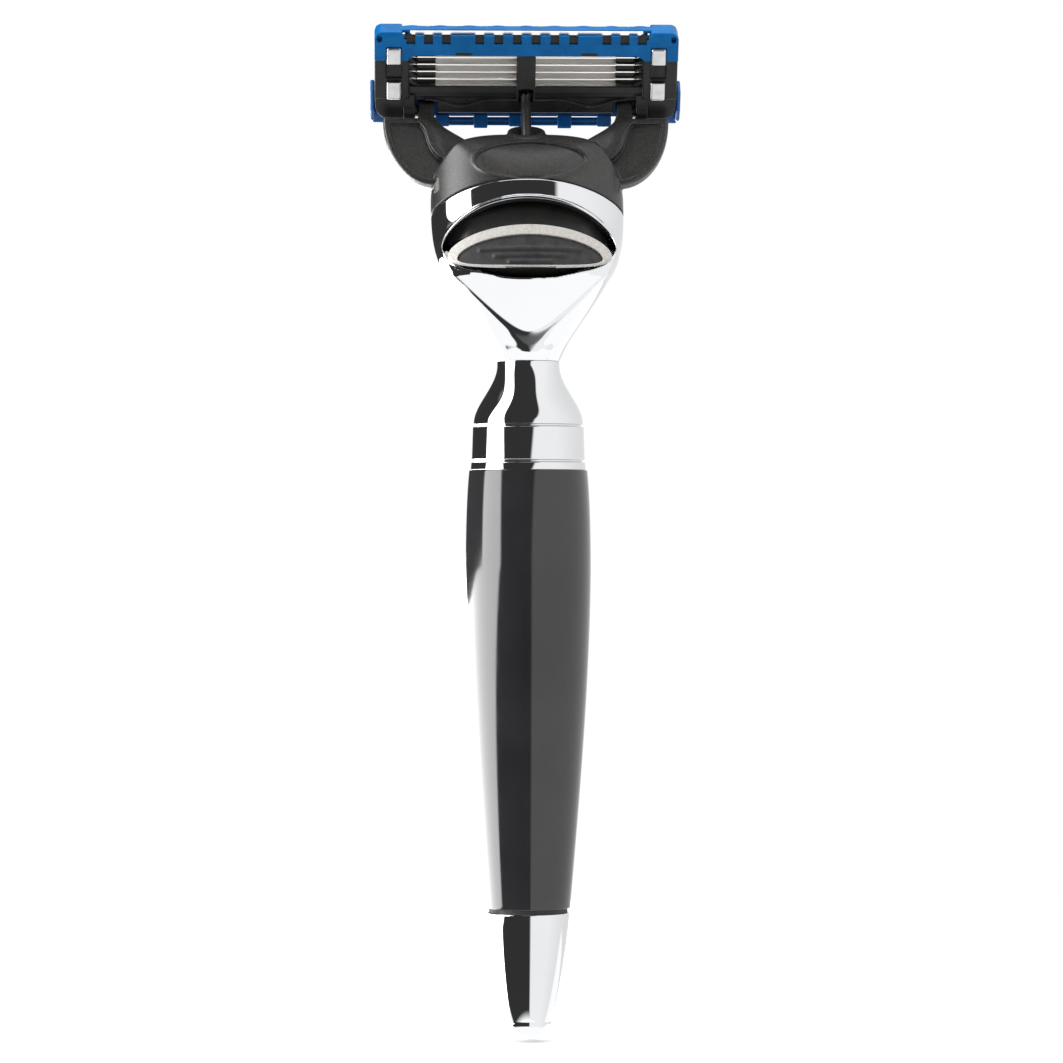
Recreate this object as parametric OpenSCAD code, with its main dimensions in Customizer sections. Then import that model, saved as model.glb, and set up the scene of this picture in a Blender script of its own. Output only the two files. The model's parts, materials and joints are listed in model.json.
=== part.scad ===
// Cartridge razor: a turned handle, a polished head with a release button,
// and a click-on cartridge that pivots on its yoke.
// Units are millimetres. +Z runs up the handle, +X to the right when the
// button faces the viewer, and +Y towards the skin. The origin is on the
// handle's axis, at the waist between the collar and the head.

/* [Handle] */
// Radius of the waist between collar and head
waist_r = 4.19; // [4:0.01:4.4]
// Length of the metal collar below the waist
collar_len = 14.7; // [14.5:0.1:15]
// Largest radius of the grip sleeve
grip_r = 8.45; // [8.2:0.05:9]
// Length of the grip sleeve
grip_len = 59.1; // [55:0.1:64]
// Length of the end cap
cap_len = 17.1; // [16:0.1:19]
// Radius of the tie rod that clamps the handle together
rod_r = 2; // [1.8:0.1:2]

/* [Head] */
// Angle by which the dock leans away from the handle's axis
dock_lean = 30; // [29:0.5:31]
// Height on the handle's axis where the dock's axis starts
dock_z = 12.5; // [12.3:0.1:12.7]
// Distance along the dock's axis from its start to the head's mouth
mouth_q = 10; // [9.9:0.05:10.1]
// Half width of the head's mouth
mouth_a = 13.1; // [13:0.05:13.3]
// Half depth of the head's mouth
mouth_b = 6.6; // [6.5:0.05:6.7]

/* [Button] */
// Travel of the release button
eject_travel = 3.2; // [2:0.1:3.3]
// Half width of the button
button_a = 11; // [10.5:0.1:11.2]

/* [Cartridge] */
// Overall width of the cartridge's frame
cartridge_w = 41.6; // [41:0.1:42]
// Angle by which the cartridge leans back from the handle's axis
cartridge_lean = 28; // [27.5:0.5:28.5]
// Distance along the dock's axis from its start to the pivot
pivot_q = 26; // [25.9:0.1:26.1]
// Largest turn of the cartridge about its pivot
pivot_travel = 40; // [10:1:40]
// Distance between neighbouring blades
blade_pitch = 1.05; // [1:0.01:1.06]

/* [Hidden] */

// Running clearance and the sliver that makes a cut pass its face
gap = 0.05;
eps = 0.02;
// Facets of a true round, and points round an oval outline
round_fn = 64;
oval_n = 40;
// Steps along one stretch of a turned outline
outline_n = 14;

// Heights on the handle's axis
collar_bottom = -collar_len;
grip_bottom = collar_bottom - grip_len;
washer_t = 0.6;
handle_bottom = grip_bottom - washer_t - cap_len;
rod_top = 6;

// Places on the dock: the plunger's axis, its tip and its travel
plunger_p = -2.8;
plunger_r = 0.72;
plunger_tip_q = 27.25;
plunger_travel = 2.5;
spring_r = 1.15;
chamber_r = 1.5;
chamber_q = 3.4;
snout_top = 15.5;

// Inside the head: the oval tunnel, the core, and the ejector's deck and legs
tunnel_a = mouth_a - 1.4;
tunnel_b = mouth_b - 1.2;
insert_q = 2.5;
deck_q = -3;
deck_t = 1.3;
leg_x = 7.4;
return_p = 2.9;
thumb_r = 30;
thumb_p = 21.8;

// Cartridge section: w is towards the skin, v runs from guard to cap
frame_front = 1.9;
frame_back = -1.6;
window_low = 3.3;
window_high = 9.1;
clip_v0 = 2.5;
clip_v1 = 10.1;
notches = [1.28, 3.84, 6.4, 10.95, 13.4, 15.8];
blade_v0 = 3.85;
blade_half = 18.3;
leg_half = 16;
blade_rise = 24;
half_w = cartridge_w / 2;

// A point on a quadratic or a cubic curve
function mix(a, b, t) = a + (b - a) * t;
function quad_at(a, b, c, t) = mix(mix(a, b, t), mix(b, c, t), t);
function cube_at(a, b, c, d, t) = mix(quad_at(a, b, c, t), quad_at(b, c, d, t), t);
function quad_curve(a, b, c, n) = [for (i = [0:n]) quad_at(a, b, c, i / n)];
function cube_curve(a, b, c, d, n) = [for (i = [0:n]) cube_at(a, b, c, d, i / n)];

// An oval whose upper and lower halves may differ in height
function oval(a, up, down) = [
    for (i = [0:oval_n - 1])
        let (t = 360 * i / oval_n)
            [a * cos(t), sin(t) * (sin(t) > 0 ? up : down)]
];

// Moves its children into the dock's frame: x, then p across it, then q along it
module at_dock() {
    translate([0, 0, dock_z]) rotate([-dock_lean, 0, 0]) children();
}

// Moves its children to the pivot, with the dock's directions
module at_pivot() {
    at_dock() translate([0, 0, pivot_q]) children();
}

// Moves its children into the cartridge's frame: x, then w, then v
module at_cartridge() {
    at_pivot() rotate([dock_lean + cartridge_lean, 0, 0]) children();
}

// Draws its children at the right and, mirrored, at the left
module both_sides() {
    children();
    mirror([1, 0, 0]) children();
}

// A box given by its lowest and highest corners
module span(low, high) {
    translate(low) cube(high - low);
}

// A prism along x of an outline drawn in the plane of y and z
module prism_x(points, x0, x1) {
    translate([x0, 0, 0]) rotate([90, 0, 90]) linear_extrude(x1 - x0) polygon(points);
}

// A prism along y of an outline drawn in the plane of x and z
module prism_y(points, y0, y1) {
    translate([0, y1, 0]) rotate([90, 0, 0]) linear_extrude(y1 - y0) polygon(points);
}

// A turned solid whose outline gives radius and height
module turned(points) {
    rotate_extrude($fn = round_fn) polygon(points);
}

module rod_bore(r, z0, z1) {
    translate([0, 0, z0]) cylinder(r = r, h = z1 - z0, $fn = round_fn);
}

// Coil spring of round wire, standing on z = 0
module coil(r, wire, turns, height) {
    sides = 6;
    steps = 12;
    rings = turns * steps;
    rise = (height - 2 * wire) / rings;
    points = [
        for (i = [0:rings])
            for (j = [0:sides - 1])
                let (
                    around = 360 * i / steps,
                    reach = r + wire * cos(360 * j / sides),
                    z = wire + rise * i + wire * sin(360 * j / sides)
                )
                    [reach * cos(around), reach * sin(around), z]
    ];
    walls = [
        for (i = [0:rings - 1])
            for (j = [0:sides - 1])
                let (a = i * sides + j, b = i * sides + (j + 1) % sides)
                    each [[a, b, b + sides], [a, b + sides, a + sides]]
    ];
    first = [for (j = [sides - 1:-1:0]) j];
    last = [for (j = [0:sides - 1]) rings * sides + j];
    polyhedron(points = points, faces = concat(walls, [first, last]), convexity = 8);
}

// ---- Handle ----

module end_cap() {
    top = grip_bottom - washer_t;
    shoulder = [3.1, handle_bottom + 2.4];
    side = cube_curve([5.6, top], [5.1, top - 5.5], [3.9, top - 12], shoulder, outline_n);
    tip = [for (i = [1:6]) [3.1 * cos(15 * i), shoulder.y - 2.4 * sin(15 * i)]];
    color("gainsboro") difference() {
        turned(concat([[0, top]], side, tip));
        rod_bore(rod_r + gap, top - 10, top + eps);
    }
}

module cap_washer() {
    color("dimgray") difference() {
        rod_bore(5.3, grip_bottom - washer_t, grip_bottom);
        rod_bore(rod_r + gap, grip_bottom - washer_t - eps, grip_bottom + eps);
    }
}

module tie_rod() {
    low = grip_bottom - washer_t - 9.5;
    core = rod_r - 0.15;
    thread = 0.7;
    color("silver") difference() {
        rod_bore(rod_r, low, rod_top - 0.4);
        for (end = [low + 0.5, rod_top - 5.5])
            for (i = [0:6])
                translate([0, 0, end + thread * i])
                    turned([[core, 0.3], [rod_r + eps, 0.1], [rod_r + eps, 0.5]]);
    }
}

module grip_sleeve() {
    top = collar_bottom;
    belly = top - 13.3;
    upper = quad_curve([7.97, top], [8.5, top - 4.8], [grip_r, belly], outline_n);
    lower = cube_curve(
        [grip_r, belly], [8.35, belly - 15], [6.85, belly - 32], [5.65, grip_bottom], outline_n
    );
    color("black") difference() {
        turned(concat([[0, top]], upper, [for (i = [1:outline_n]) lower[i]], [[0, grip_bottom]]));
        rod_bore(rod_r + gap, grip_bottom - eps, top + eps);
    }
}

module collar() {
    groove = 0.22;
    flare = cube_curve([waist_r, -0.6], [4.25, -3.2], [7, -5.6], [7.33, -7.9], outline_n);
    color("gainsboro") difference() {
        turned(concat(
            [[0, 0], [waist_r, 0]], flare,
            [[7.38, -8.5], [7.38 - groove, -8.6], [7.38 - groove, -8.8], [7.5, -8.95]],
            [[7.64, -13.3], [7.64 - groove, -13.4], [7.64 - groove, -13.6], [7.7, -13.75]],
            [[7.77, collar_bottom], [0, collar_bottom]]
        ));
        rod_bore(rod_r + gap, collar_bottom - eps, eps);
    }
}

// ---- Head ----

// A level slab of the head: an oval back, and sides that run on to a flat front
module level_slab(z, a, back, front, face) {
    rise = front / sqrt(1 - (face / a) ^ 2);
    outline = [for (pt = oval(a, back, rise)) [pt.x, max(pt.y, -front)]];
    translate([0, 0, z]) linear_extrude(0.1) polygon(outline);
}

module dock_slab(q, a) {
    at_dock() translate([0, 0, q]) linear_extrude(0.1) polygon(oval(a, mouth_b, mouth_b));
}

module low_slab() {
    level_slab(5, 7.2, 4.7, 5.7, 4);
}

module hump_slab() {
    level_slab(11.3, 11, 6.9, 8.2, 9.8);
}

module head_body() {
    hull() {
        rod_bore(waist_r, 0, 0.3);
        low_slab();
    }
    hull() {
        low_slab();
        hump_slab();
    }
    hull() {
        hump_slab();
        dock_slab(3.4, 12.8);
    }
    hull() {
        dock_slab(3.4, 12.8);
        dock_slab(mouth_q - 0.1, mouth_a);
    }
}

// An oval in x and q whose widest line lies at the height q
function thumb_oval(a, q, up, down) = [for (pt = oval(a, up, down)) pt + [0, q]];

// Oval tunnel along the dock, from q0 to q1
module tunnel(a, b, q0, q1) {
    at_dock() translate([0, 0, q0]) linear_extrude(q1 - q0) polygon(oval(a, b, b));
}

module head_shell() {
    color("gainsboro") difference() {
        head_body();
        tunnel(tunnel_a, tunnel_b, insert_q, mouth_q + 1);
        tunnel(8.9, 4.9, deck_q - 0.4, insert_q + eps);
        at_dock() prism_y(thumb_oval(button_a + 0.7, -1.1, 5.1 + eject_travel, 4.4), -10, -3);
        rod_bore(rod_r + gap, -eps, rod_top);
    }
}

// The black core of the head: it holds the plunger and carries the snout
module dock_insert() {
    low = insert_q + gap;
    high = mouth_q - 0.2;
    color("black") difference() {
        union() {
            intersection() {
                tunnel(tunnel_a - gap, tunnel_b - gap, low, high);
                at_dock() union() {
                    span([-leg_x + 0.3, -4.4, low - 1], [leg_x - 0.3, 6, high + 1]);
                    span([-12, -4.4, low - 1], [12, -1.6, high + 1]);
                }
            }
            at_dock() span([-6, -4.6, high - 1], [6, 3.2, snout_top]);
            at_dock() both_sides()
                prism_y([[5.9, 12], [6.2, 13], [6.2, 14], [5.9, 14.6]], -1.5, 1.5);
        }
        at_dock() translate([0, plunger_p, 0]) {
            rod_bore(plunger_r + gap + 0.02, 13, snout_top + 1);
            rod_bore(chamber_r, chamber_q, 13.6);
        }
        at_dock() translate([0, return_p, 0]) rod_bore(1.6, low - 1, 8);
    }
}

// ---- Release button ----

// Everything under the thumb's curved surface, sunk by depth
module under_thumb(depth) {
    translate([0, thumb_p, -10]) cylinder(r = thumb_r - depth, h = 30, $fn = round_fn);
}

// The button's block, the deck under the core, and two legs that push the yoke off
module ejector_slide() {
    color("black") at_dock() {
        intersection() {
            prism_y(thumb_oval(9, -2, 3, 2.3), -9, -4.6);
            under_thumb(0.5);
        }
        span([-6.5, -4.7, deck_q], [6.5, -3, deck_q + deck_t]);
        translate([0, 0, deck_q]) linear_extrude(deck_t) polygon(oval(8.6, 4.6, 4.6));
        both_sides() span([leg_x, -1.2, deck_q], [leg_x + 0.9, 1.2, mouth_q - 0.3]);
    }
}

// The pale crescent that frames the pad
module button_ring() {
    color("lightgray") at_dock() difference() {
        intersection() {
            prism_y(thumb_oval(button_a, -1.9, 3.75, 3), -9, -3);
            under_thumb(0);
        }
        prism_y(thumb_oval(9.7, -2.65, 2.9, 2.05), -10, -1);
        under_thumb(0.48);
    }
}

// The soft pad with three raised arcs for the thumb
module button_pad() {
    color("darkslategray") at_dock() {
        difference() {
            intersection() {
                prism_y(thumb_oval(9.65, -2.65, 2.85, 2), -9, -3);
                under_thumb(0.1);
            }
            under_thumb(0.48);
        }
        for (i = [0:2])
            let (reach = 6.6 - 2 * i, high = -1.5 - 1 * i)
                intersection() {
                    prism_y(
                        concat(
                            quad_curve([-reach, high - 0.5], [0, high + 0.5], [reach, high - 0.5], 8),
                            quad_curve([reach, high - 0.9], [0, high + 0.1], [-reach, high - 0.9], 8)
                        ),
                        -9, -6
                    );
                    difference() {
                        under_thumb(0);
                        under_thumb(0.12);
                    }
                }
    }
}

module return_spring() {
    color("silver") at_dock() translate([0, return_p, deck_q + deck_t]) coil(1.2, 0.2, 6, 9.5);
}

// ---- Plunger ----

module plunger() {
    tip = plunger_tip_q - plunger_r;
    color("dimgray") at_dock() translate([0, plunger_p, 0]) difference() {
        union() {
            rod_bore(plunger_r, 10, tip);
            translate([0, 0, tip]) sphere(r = plunger_r, $fn = 32);
            rod_bore(chamber_r - 0.1, 12.2, 13.3);
            rod_bore(plunger_r - 0.1, 9, 12.3);
        }
        span([-0.18, -1, tip - 0.5], [0.18, 1, tip + 1]);
    }
}

module plunger_spring() {
    color("silver") at_dock() translate([0, plunger_p, chamber_q]) coil(spring_r, 0.2, 9, 8.75);
}

// ---- Yoke ----

// The wing's outline in x and q, from the ear up to the flat end and the finger
function wing() = concat(
    [[0, 10.6], [12.6, 11.2]],
    [for (i = [0:10]) let (t = 9 * i - 90) [12.6 + 7 * cos(t), 23.2 + 11 * sin(t)]],
    [[15, 23.2]],
    quad_curve([12.4, 23.8], [10.6, 20.8], [5.5, 20], 8),
    [[0, 20]]
);

module dome() {
    intersection() {
        translate([0, 0, mouth_q]) linear_extrude(12) polygon(oval(mouth_a, mouth_b, mouth_b));
        prism_y(
            concat(
                [[-mouth_a, 0], [mouth_a, 0]],
                [for (i = [0:24]) let (t = 7.5 * i) [mouth_a * cos(t), 11.2 + 9.6 * sin(t)]]
            ),
            -10, 10
        );
        prism_x([for (pt = oval(mouth_b, 11.1, 1)) pt + [0, mouth_q]], -20, 20);
    }
}

// The shape that one finger needs for its whole swing, seen along x
module finger_section(r, reach) {
    circle(r = r, $fn = 48);
    translate([-r, -reach]) square([2 * r, reach]);
}

module yoke() {
    color("black") difference() {
        union() {
            at_dock() dome();
            at_dock() both_sides() prism_y(wing(), -2.6, 2.6);
            at_dock() translate([0, plunger_p, 17.5]) cylinder(r = 2, h = 3.2, $fn = round_fn);
            at_pivot() both_sides() {
                translate([12.5, 0, 0]) rotate([90, 0, 90])
                    linear_extrude(2.3) finger_section(1.5, 4);
                translate([14.7, 0, 0]) rotate([0, 90, 0]) cylinder(r = 0.9, h = 1.7, $fn = 48);
            }
        }
        at_dock() span([-6.3, -4.9, mouth_q - 1], [6.3, 3.5, snout_top + 0.3]);
        at_dock() translate([0, plunger_p, 0]) rod_bore(1.05, 12, 24);
        at_dock() both_sides() prism_y(
            [for (pt = wing()) [14.2, 18] + 0.72 * (pt - [14.2, 18])], -4, -2.2
        );
    }
}

// ---- Cartridge ----

// Extrudes along x the area that a section of the dock sweeps as the cartridge
// turns. The section starts at a radius of tip and sinks by fall over the turn.
module swept(x0, x1, step, tip, fall, r) {
    translate([x0, 0, 0]) rotate([90, 0, 90]) linear_extrude(x1 - x0)
        for (turn = [0:step:pivot_travel])
            rotate(-dock_lean - cartridge_lean - turn)
                translate(tip - [0, fall * turn / pivot_travel]) finger_section(r, 9);
}

// Everything that a finger sweeps past while the cartridge turns
module finger_sweep() {
    swept(12.2, 15.1, 20, [0, 0], 0, 1.75);
}

// The track of the plunger's tip, one place for each step of the turn
module plunger_sweep() {
    tip = [plunger_p, plunger_tip_q - plunger_r - pivot_q];
    swept(-1, 1, 5, tip, plunger_travel, plunger_r + 0.12);
}

module lug(x0, x1) {
    translate([x0, 0, 0]) rotate([0, 90, 0]) cylinder(r = 1.9, h = x1 - x0, $fn = 48);
    span([x0, -1.6, 0], [x1, 1.9, 3]);
}

module cartridge_frame() {
    color("black") at_cartridge() difference() {
        union() {
            span([-half_w, frame_back, 2.5], [half_w, frame_front, 10.1]);
            span([-16.2, -0.5, window_high], [16.2, frame_front, 11.8]);
            span([-16.2, frame_back, window_high], [16.2, -1.35, 11.8]);
            span([-16, -0.7, -0.3], [16, 0.9, 3]);
            both_sides() {
                lug(15.2, 16.8);
                span([16.7, -1.5, -0.6], [half_w, 1.9, 2.6]);
            }
        }
        span([-16.2, -0.75, window_low], [16.2, 3, window_high]);
        both_sides() {
            span([1.3, -3, window_low], [16.2, 3, window_high]);
            span([16, 1.55, 2.8], [18.5, 3, window_high]);
            finger_sweep();
            translate([14.9, 0, 0]) rotate([0, 90, 0]) cylinder(r = 0.95, h = 1.65, $fn = 48);
            span([17.05, -3, clip_v0 - 0.05], [19.15, 3, clip_v0 + 0.3]);
            span([17.05, -3, clip_v1 - 0.35], [19.15, 3, clip_v1 + 0.1]);
        }
        plunger_sweep();
    }
}

// An aluminium band across the front, with its two ends folded over the back
module clip(x0, x1) {
    t = 0.25;
    color("silver") at_cartridge() {
        span([x0, 2.95, clip_v0], [x1, 2.95 + t, clip_v1]);
        span([x0, -2.3, clip_v0], [x1, 2.95, clip_v0 + t]);
        span([x0, -2.3, clip_v1 - t], [x1, 2.95, clip_v1]);
        span([x0, -2.3, clip_v0], [x1, -2.3 + t, clip_v0 + 2.5]);
        span([x0, -2.3, clip_v1 - 2.3], [x1, -2.3 + t, clip_v1]);
    }
}

module clip_left() {
    clip(-19.1, -17.1);
}

module clip_right() {
    clip(17.1, 19.1);
}

// The blue cover over the cap's back, notched along its upper edge
module trimmer_carrier() {
    color("dodgerblue") at_cartridge() difference() {
        union() {
            span([-16.3, -2, 8.9], [16.3, -1.62, 11.9]);
            span([-16.3, -0.6, 11.85], [16.3, 1.1, 12.4]);
            both_sides() {
                span([16.25, -1.62, 10.25], [half_w, 1.9, 12.35]);
                span([16.25, -2, 8.2], [half_w, -1.62, 12.35]);
            }
        }
        both_sides() {
            for (x = notches)
                span([x - 0.6, -3, 10.55], [x + 0.6, -1.61, 13]);
            span([17.05, -3, 7.5], [19.15, -1.5, 10.15]);
            span([7.4, -3, 8.6], [9.8, -1.5, 9.3]);
        }
    }
}

module trimmer_blade() {
    color("silver") at_cartridge() span([-16.2, -1.3, 10.2], [16.2, -1.1, 12.38]);
}

module lubricating_strip() {
    color("lightgreen") at_cartridge() prism_x(
        [[1.95, 9.4], [2.9, 9.4], [3.05, 9.9], [2.7, 11.2], [2.2, 11.8], [1.95, 11.8]], -16.2, 16.2
    );
}

// The blue comb at the guard: a tray, a bar below it, and the two side bulges
module comb_guard() {
    color("blue") at_cartridge() {
        difference() {
            span([-half_w - 0.1, 1.95, -1.6], [half_w + 0.1, 2.3, 2.75]);
            both_sides() span([17.05, 1, clip_v0 - 0.05], [19.15, 3, 3]);
        }
        span([-12, 0.95, -1], [12, 2, -0.35]);
        span([-12, 0.95, -2.7], [12, 1.6, -1.5]);
        for (x = [-11.4, -6.1, -1.2, 5.5, 11])
            span([x - 0.9, 0.85, -2.65], [x + 0.9, 1.55, -0.8]);
        both_sides() prism_x(
            [[-1.2, 3.4], [-1.2, 0.5], [-0.4, -1.2], [0.8, -1.8], [2.3, -1.6], [2.3, 3.6], [1, 4.2]],
            half_w, half_w + 0.55
        );
    }
}

module guard_fins() {
    fins = 13;
    color("darkblue") at_cartridge() {
        span([-15.5, 2.3, -1.3], [15.5, 2.5, 2.6]);
        for (i = [0:fins - 1])
            let (v = -1.2 + 0.3 * i)
                span([-15.4, 2.45, v], [15.4, 2.85, v + 0.14]);
    }
}

// ---- Blades ----

// Height in the cartridge at which blade n stands, counted from the guard
function blade_v(n) = blade_v0 + blade_pitch * (n - 1);

module blade_support(n) {
    v = blade_v(n);
    slope = 0.9 * [sin(blade_rise), -cos(blade_rise)];
    color("lightgray") at_cartridge() {
        span([-12.1, -0.4, v - 0.08], [12.1, 2.1, v + 0.08]);
        span([-leg_half, 1.3, v - 0.08], [leg_half, 2.1, v + 0.08]);
        prism_x(
            [[2, v + 0.08], [2.17, v + 0.08], [2.17, v] + slope, [2, v - 0.08] + slope],
            -blade_half, blade_half
        );
    }
}

module blade(n) {
    v = blade_v(n);
    root = [2.18, v + 0.08];
    shelf = [0.9 * sin(blade_rise), -0.9 * cos(blade_rise) - 0.08];
    edge = root + 1.18 * shelf;
    color("white") at_cartridge() prism_x(
        [root, root + [0.1, 0.04], edge], -blade_half, blade_half
    );
}

end_cap();
tie_rod();
cap_washer();
grip_sleeve();
collar();
head_shell();
dock_insert();
ejector_slide();
button_ring();
button_pad();
return_spring();
plunger();
plunger_spring();
yoke();
cartridge_frame();
clip_left();
clip_right();
trimmer_carrier();
trimmer_blade();
lubricating_strip();
comb_guard();
guard_fins();
blade_support(1);  // blade_support_1
blade_support(2);  // blade_support_2
blade_support(3);  // blade_support_3
blade_support(4);  // blade_support_4
blade_support(5);  // blade_support_5
blade(1);  // blade_1
blade(2);  // blade_2
blade(3);  // blade_3
blade(4);  // blade_4
blade(5);  // blade_5
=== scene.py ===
"""The looks of a cartridge razor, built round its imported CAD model.

Shapes are written in millimetres, in one of three frames: the row's own frame (x, y, z), the
dock's frame (x, p across the dock, q along it), and the cartridge's frame (x, w towards the
skin, v from guard to cap). Most pieces are solids given by a distance field, meshed at a fine
step; turned and extruded pieces are meshed from their outlines.
"""

import json
import math

import bpy
import numpy as np
from mathutils import Matrix, Vector


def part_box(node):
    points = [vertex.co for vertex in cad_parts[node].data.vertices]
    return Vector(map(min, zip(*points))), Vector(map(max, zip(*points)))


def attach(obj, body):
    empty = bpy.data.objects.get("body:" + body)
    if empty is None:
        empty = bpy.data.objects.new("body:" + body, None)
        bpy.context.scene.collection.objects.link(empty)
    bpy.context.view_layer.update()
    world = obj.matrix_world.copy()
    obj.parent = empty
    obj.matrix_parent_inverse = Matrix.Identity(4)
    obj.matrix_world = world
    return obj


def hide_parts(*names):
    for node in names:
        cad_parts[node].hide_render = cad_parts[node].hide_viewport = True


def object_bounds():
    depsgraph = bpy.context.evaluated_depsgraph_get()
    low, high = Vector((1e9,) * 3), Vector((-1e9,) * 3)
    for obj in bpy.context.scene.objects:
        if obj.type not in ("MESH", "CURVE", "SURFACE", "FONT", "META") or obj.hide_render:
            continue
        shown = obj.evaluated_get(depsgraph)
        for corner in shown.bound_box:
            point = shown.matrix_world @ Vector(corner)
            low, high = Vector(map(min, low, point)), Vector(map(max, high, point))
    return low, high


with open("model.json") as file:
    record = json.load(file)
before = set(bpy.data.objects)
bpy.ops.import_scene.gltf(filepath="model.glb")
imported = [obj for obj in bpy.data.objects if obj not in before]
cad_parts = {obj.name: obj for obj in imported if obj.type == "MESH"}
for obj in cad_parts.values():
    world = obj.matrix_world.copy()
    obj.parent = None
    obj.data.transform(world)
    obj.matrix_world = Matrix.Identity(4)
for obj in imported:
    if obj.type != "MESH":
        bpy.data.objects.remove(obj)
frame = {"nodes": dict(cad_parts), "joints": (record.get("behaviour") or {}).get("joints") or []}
cad_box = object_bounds()

MM = 0.001
JOINTS = {joint["name"]: joint for joint in frame["joints"]}

# ---------------------------------------------------------------- frames

PIVOT = Vector(JOINTS["cartridge_pivot"]["pos_m"])
DOCK_AXIS = Vector(JOINTS["cartridge_release"]["axis"])
FLOAT_AXIS = Vector(JOINTS["blade_1_float"]["axis"])
PIVOT_Q = 26.0
DOCK_LEAN = math.atan2(DOCK_AXIS.y, DOCK_AXIS.z)
CARTRIDGE_LEAN = math.atan2(-FLOAT_AXIS.z, -FLOAT_AXIS.y)
DOCK_Z = (PIVOT - DOCK_AXIS * PIVOT_Q * MM).z / MM

ROW = Matrix.Scale(MM, 4)
DOCK = (
    Matrix.Translation((0, 0, DOCK_Z * MM))
    @ Matrix.Rotation(-DOCK_LEAN, 4, "X")
    @ Matrix.Scale(MM, 4)
)
CARTRIDGE = (
    Matrix.Translation(PIVOT) @ Matrix.Rotation(CARTRIDGE_LEAN, 4, "X") @ Matrix.Scale(MM, 4)
)

# Dimensions that several pieces share, in millimetres
WAIST_R = 4.19
BORE_R = 2.05
GRIP_R = 8.45
MOUTH_Q = 10.0
MOUTH_A = 13.1
MOUTH_B = 6.6
PLUNGER_P = -2.8
PLUNGER_TIP = 27.25
RETURN_P = 2.9
DECK_LOW, DECK_HIGH = -3.0, -1.7
HALF_W = 20.8
CLIP_NEAR, CLIP_FAR = 17.05, 19.15
BLADES = 5
BLADE_V0 = 3.85
BLADE_PITCH = 1.05
BLADE_HALF = 18.3


def dock_of(y, z):
    """p and q of a point of the row's frame."""
    z = z - DOCK_Z
    return (
        y * math.cos(DOCK_LEAN) - z * math.sin(DOCK_LEAN),
        y * math.sin(DOCK_LEAN) + z * math.cos(DOCK_LEAN),
    )


def height_of(p, q):
    """z in the row's frame of a point of the dock's frame."""
    return DOCK_Z + q * math.cos(DOCK_LEAN) - p * math.sin(DOCK_LEAN)


# ---------------------------------------------------------------- fields

def box(x, y, z, low, high, r=0.15):
    """Distance to a box with edges rounded by r."""
    over = []
    for t, a, b in zip((x, y, z), low, high):
        over.append(np.abs(t - (a + b) / 2) - ((b - a) / 2 - r))
    outside = np.sqrt(sum(np.maximum(d, 0) ** 2 for d in over))
    inside = np.minimum(np.maximum(np.maximum(over[0], over[1]), over[2]), 0)
    return outside + inside - r


def oval(u, v, a, up, down=None):
    """Near-distance to an oval whose upper and lower halves may differ in height."""
    b = up if down is None else np.where(v > 0, up, down)
    reach = np.sqrt((u / a) ** 2 + (v / b) ** 2)
    slope = np.sqrt(u**2 / a**4 + v**2 / b**4)
    return reach * (reach - 1) / np.maximum(slope, 1e-3)


def rod(u, v, r):
    """Distance to a round rod that runs square to u and v."""
    return np.sqrt(u**2 + v**2) - r


def polygon(u, v, points):
    """Distance to a closed outline."""
    near = np.full(np.broadcast(u, v).shape, 1e9)
    odd = np.zeros(near.shape, bool)
    for (au, av), (bu, bv) in zip(points, points[1:] + points[:1]):
        du, dv = bu - au, bv - av
        t = np.clip(((u - au) * du + (v - av) * dv) / (du * du + dv * dv), 0, 1)
        near = np.minimum(near, (u - au - t * du) ** 2 + (v - av - t * dv) ** 2)
        if av != bv:
            crosses = (av > v) != (bv > v)
            odd ^= crosses & (u < au + du * (v - av) / dv)
    return np.where(odd, -1, 1) * np.sqrt(near)


def both(a, b, r=0.0):
    """The common part of two solids, with the new edge rounded by about r."""
    if r == 0:
        return np.maximum(a, b)
    return np.maximum(a, b) + np.maximum(r - np.abs(a - b), 0) ** 2 / (4 * r)


def either(a, b, r=0.0):
    """The two solids joined, with the inner corner filled by about r."""
    return -both(-a, -b, r)


def without(a, b, r=0.0):
    """The first solid with the second cut out of it."""
    return both(a, -b, r)


def layer(t, low, high):
    """Distance to the layer between two values of one coordinate."""
    return np.maximum(low - t, t - high)


def bell(t, width):
    """A bump of height 1 at t = 0."""
    return np.exp(-((t / width) ** 2))


def spline(points):
    """A smooth curve y(x) through points, level in slope beyond both ends."""
    xs, ys = np.array(points, float).T
    h = np.diff(xs)
    n = len(xs)
    system, right = np.eye(n), np.zeros(n)
    for i in range(1, n - 1):
        system[i, i - 1 : i + 2] = h[i - 1], 2 * (h[i - 1] + h[i]), h[i]
        right[i] = 6 * ((ys[i + 1] - ys[i]) / h[i] - (ys[i] - ys[i - 1]) / h[i - 1])
    bend = np.linalg.solve(system, right)

    def curve(x):
        x = np.clip(x, xs[0], xs[-1])
        i = np.clip(np.searchsorted(xs, x) - 1, 0, n - 2)
        a, b = (xs[i + 1] - x) / h[i], (x - xs[i]) / h[i]
        return (
            a * ys[i] + b * ys[i + 1]
            + ((a**3 - a) * bend[i] + (b**3 - b) * bend[i + 1]) * h[i] ** 2 / 6
        )

    return curve


# ---------------------------------------------------------------- meshes

def slope_of(field, points, reach):
    """The field's values and its gradient at points."""
    gradient = np.empty_like(points)
    for axis in range(3):
        step = np.zeros(3)
        step[axis] = reach
        ahead = field(*(points + step).T)
        behind = field(*(points - step).T)
        gradient[:, axis] = (ahead - behind) / (2 * reach)
    return field(*points.T), gradient


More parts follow.
